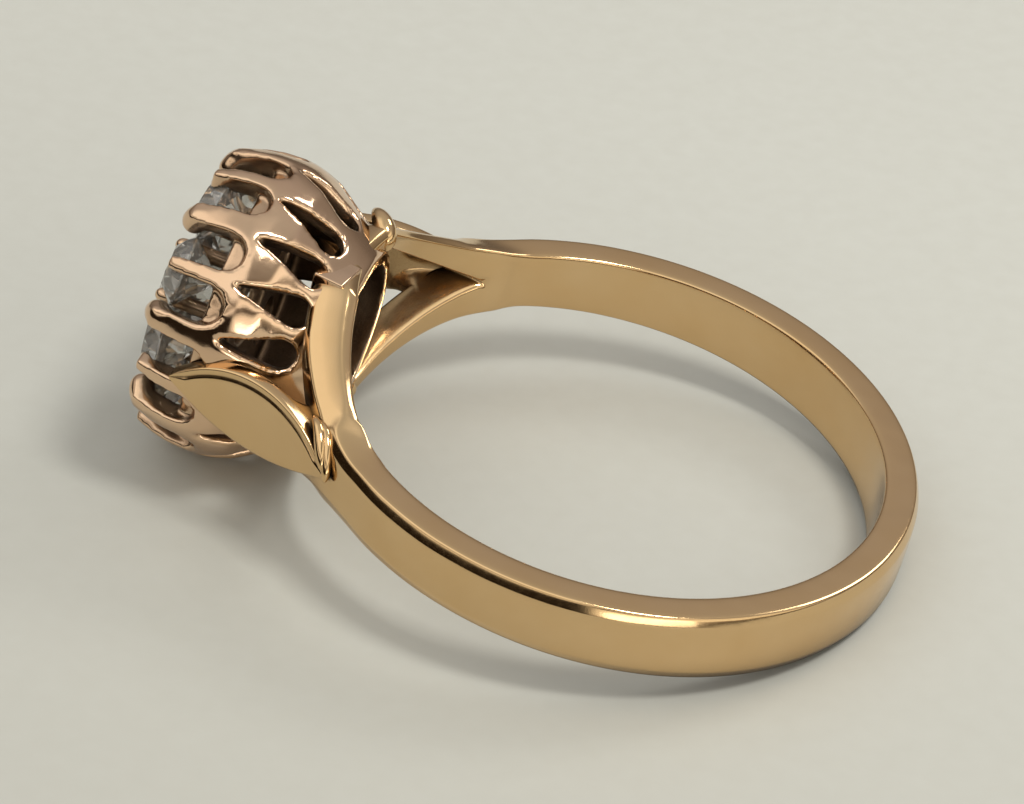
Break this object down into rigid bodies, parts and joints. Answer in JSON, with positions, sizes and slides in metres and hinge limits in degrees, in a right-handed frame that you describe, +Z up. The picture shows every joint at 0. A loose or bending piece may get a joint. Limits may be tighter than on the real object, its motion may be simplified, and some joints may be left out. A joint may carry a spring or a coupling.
{
  "type": "cluster ring",
  "caption": "Gold cluster ring with a pierced, clawed head of round stones, split shoulders and leaf plates, resting on its side.",
  "frame": {"origin": "middle of the footprint's box, on the floor that the ring lies on", "axes": "+Z up from the floor; -X towards the head; +X towards the back of the band; the ring lies on its side and leans about Y so that the head and the back of the band both touch the floor"},
  "size_m": [0.0246, 0.0194, 0.0098],
  "materials": {
    "gold": "polished gold alloy, yellow on the band and rosier on the head",
    "stone": "clear faceted stone, slightly grey"
  },
  "bodies": {
    "root": {"mount": "gold", "stone_centre": "stone", "stone_1": "stone", "stone_2": "stone", "stone_3": "stone", "stone_4": "stone", "stone_5": "stone", "stone_6": "stone", "stone_7": "stone", "stone_8": "stone"}
  },
  "joints": []
}
